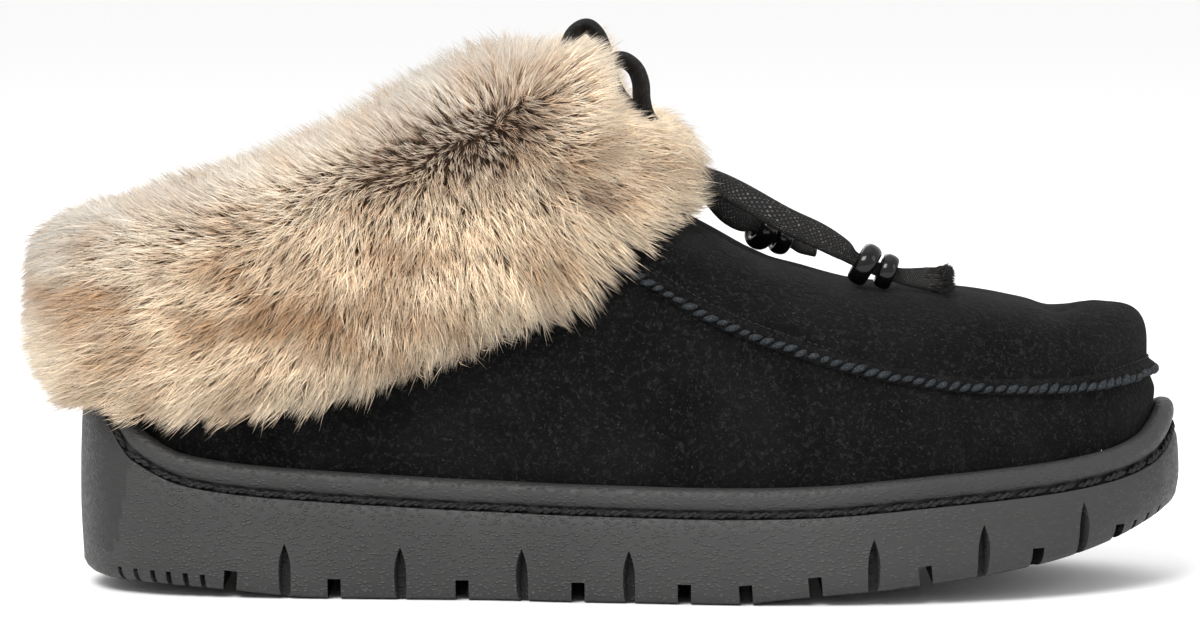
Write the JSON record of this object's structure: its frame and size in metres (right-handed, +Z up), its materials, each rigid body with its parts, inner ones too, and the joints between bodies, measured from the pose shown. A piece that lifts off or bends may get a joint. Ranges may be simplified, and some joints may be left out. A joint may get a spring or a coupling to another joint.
{
  "type": "fur-collar mule",
  "caption": "Slip-on moccasin mule, right foot, with a deep fur collar, a raised apron seam, a beaded lace bow and a thick grooved cup sole.",
  "frame": {"origin": "on the floor plane, on the tread under the middle of the foot, 128.4 mm ahead of the sole's back end", "axes": "+X to the toe along the shoe, +Y to the wearer's left (the inner side of this right shoe), +Z up"},
  "size_m": [0.2859, 0.1089, 0.1395],
  "materials": {
    "sole_rubber": "matt, pebbled",
    "suede": "napped suede",
    "lining": "short fur pile",
    "fur": "long fur pile",
    "lace": "waxed woven",
    "bead": "polished"
  },
  "bodies": {
    "root": {"sole": "sole_rubber", "upper": "suede", "insole": "lining", "fur_collar": "fur", "lace_knot": "lace", "lace_loop_outer": "lace", "lace_loop_inner": "lace", "lace_end_outer": "lace", "lace_end_inner": "lace", "bead_outer_large": "bead", "bead_outer_small": "bead", "bead_inner_large": "bead", "bead_inner_small": "bead"}
  },
  "joints": []
}
